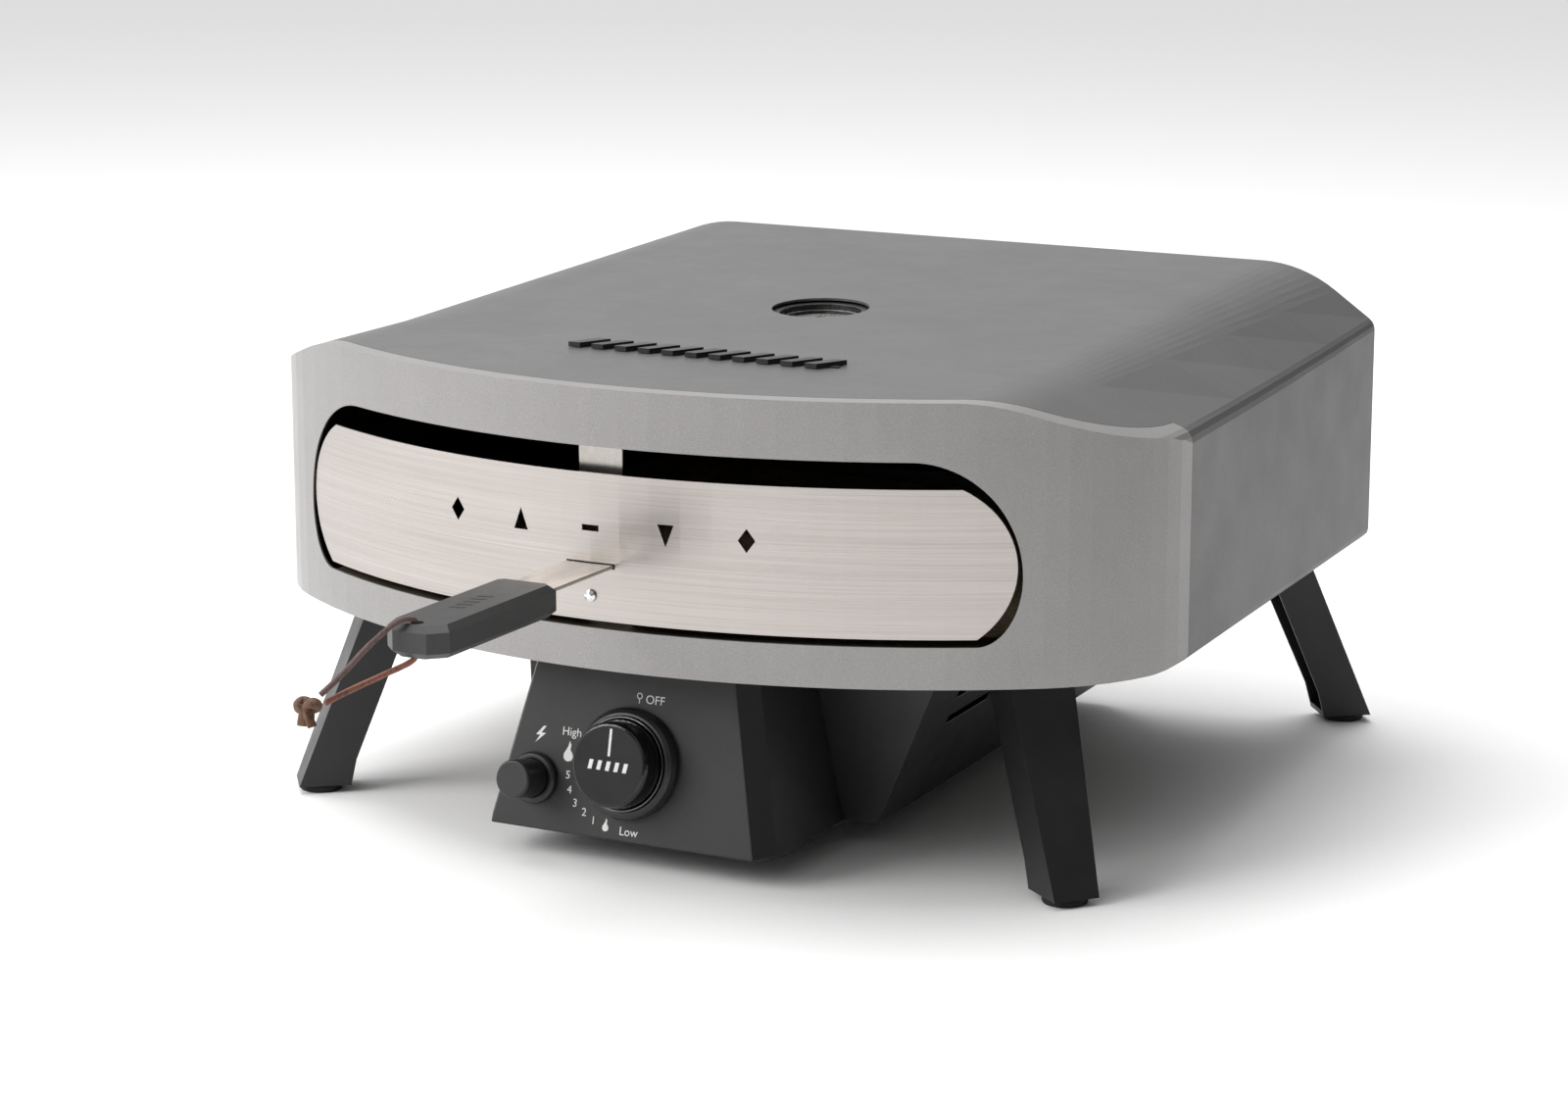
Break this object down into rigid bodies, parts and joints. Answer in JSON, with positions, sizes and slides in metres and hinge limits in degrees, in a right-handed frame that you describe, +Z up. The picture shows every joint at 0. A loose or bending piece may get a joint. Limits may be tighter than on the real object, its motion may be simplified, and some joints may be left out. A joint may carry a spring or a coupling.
{
  "type": "gas-fired tabletop pizza oven",
  "caption": "Low gas-fired tabletop pizza oven with a wide curved front, lift-out steel door with a strapped grip, folding legs and a control box underneath.",
  "frame": {"origin": "centre of the bounding box in plan, on the surface the feet stand on, measured without the leather thong", "axes": "+Z up, the front with the door and its grip towards -Y, +X towards the right-hand side as seen from the front"},
  "size_m": [0.6, 0.8255, 0.3104],
  "materials": {
    "shell": "satin dark grey powder coat",
    "fascia": "satin silver grey paint",
    "brushed_steel": "horizontal brushed grain",
    "steel": "plain bright steel",
    "dark_steel": "heat-darkened steel, matte",
    "black_paint": "matte black powder coat",
    "black_plastic": "glossy black",
    "grip_plastic": "matte dark grey",
    "rubber": "matte",
    "stone": "rough cordierite",
    "brass": "plain",
    "dial_white": "matte white",
    "red_paint": "satin",
    "glass": "clear",
    "fibre": "ceramic fibre blanket",
    "leather": "plain brown cord",
    "chrome": "polished",
    "white_ceramic": "unglazed"
  },
  "bodies": {
    "oven": {"outer_shell": "shell", "front_fascia": "fascia", "base_pan": "dark_steel", "rear_panel": "shell", "cooking_chamber": "dark_steel", "floor_tray": "dark_steel", "pizza_stone": "stone", "roof_insulation": "fibre", "burner_tube": "steel", "burner_bracket_left": "dark_steel", "burner_bracket_right": "dark_steel", "flame_guard": "dark_steel", "control_box": "black_paint", "burner_housing": "black_paint", "gas_valve": "brass", "gas_pipe_burner": "brass", "gas_pipe_inlet": "brass", "gas_inlet": "brass", "knob_bezel": "black_plastic", "knob_trim_ring": "chrome", "igniter_bezel": "black_plastic", "igniter_body": "black_plastic", "spark_electrode": "white_ceramic", "thermometer_cup": "black_plastic", "thermometer_dial": "dial_white", "thermometer_glass": "glass", "thermometer_probe": "steel", "top_ornament": "black_plastic", "leg_bracket_front_left": "black_paint", "leg_pin_front_left": "steel", "leg_bracket_front_right": "black_paint", "leg_pin_front_right": "steel", "leg_bracket_rear_left": "black_paint", "leg_pin_rear_left": "steel", "leg_bracket_rear_right": "black_paint", "leg_pin_rear_right": "steel"},
    "door": {"door_panel": "brushed_steel", "door_strap": "brushed_steel", "door_screw": "chrome", "door_grip": "grip_plastic", "thong_upper": "leather", "thong_lower": "leather", "thong_knot": "leather"},
    "plunger": {"valve_plunger": "steel"},
    "knob": {"control_knob": "black_plastic"},
    "igniter": {"igniter_button": "black_plastic"},
    "pointer": {"thermometer_pointer": "red_paint"},
    "leg_front_left_body": {"leg_front_left": "black_paint", "leg_pad_front_left": "rubber"},
    "leg_front_right_body": {"leg_front_right": "black_paint", "leg_pad_front_right": "rubber"},
    "leg_rear_left_body": {"leg_rear_left": "black_paint", "leg_pad_rear_left": "rubber"},
    "leg_rear_right_body": {"leg_rear_right": "black_paint", "leg_pad_rear_right": "rubber"}
  },
  "joints": [
    {"name": "leg_front_left_fold", "type": "hinge", "parent": "oven", "child": "leg_front_left_body", "pos_m": [-0.2195, -0.03211, 0.1203], "axis": [1, 0, 0], "range_deg": [0, 100]},
    {"name": "leg_front_right_fold", "type": "hinge", "parent": "oven", "child": "leg_front_right_body", "pos_m": [0.2195, -0.03211, 0.1203], "axis": [1, 0, 0], "range_deg": [0, 100]},
    {"name": "leg_rear_left_fold", "type": "hinge", "parent": "oven", "child": "leg_rear_left_body", "pos_m": [-0.2195, 0.28853, 0.1203], "axis": [-1, 0, 0], "range_deg": [0, 100]},
    {"name": "leg_rear_right_fold", "type": "hinge", "parent": "oven", "child": "leg_rear_right_body", "pos_m": [0.2195, 0.28853, 0.1203], "axis": [-1, 0, 0], "range_deg": [0, 100]},
    {"name": "door_lift_out", "type": "slide", "parent": "oven", "child": "door", "axis": [0, -1, 0], "range_m": [0, 0.25]},
    {"name": "knob_push", "type": "slide", "parent": "oven", "child": "plunger", "axis": [0, 0.9781, -0.2079], "range_m": [0, 0.004], "stiffness_N_per_m": 1500, "springref_m": -0.002},
    {"name": "knob_turn", "type": "hinge", "parent": "plunger", "child": "knob", "pos_m": [0.0017, -0.15591, 0.06378], "axis": [0, -0.9781, 0.2079], "range_deg": [0, 180]},
    {"name": "igniter_push", "type": "slide", "parent": "oven", "child": "igniter", "axis": [0, 0.9781, -0.2079], "range_m": [0, 0.004], "stiffness_N_per_m": 1500, "springref_m": -0.002},
    {"name": "thermometer_turn", "type": "hinge", "parent": "oven", "child": "pointer", "pos_m": [0, 0.09336, 0.30023], "axis": [0, 0.0399, -0.9992], "range_deg": [0, 270]}
  ]
}
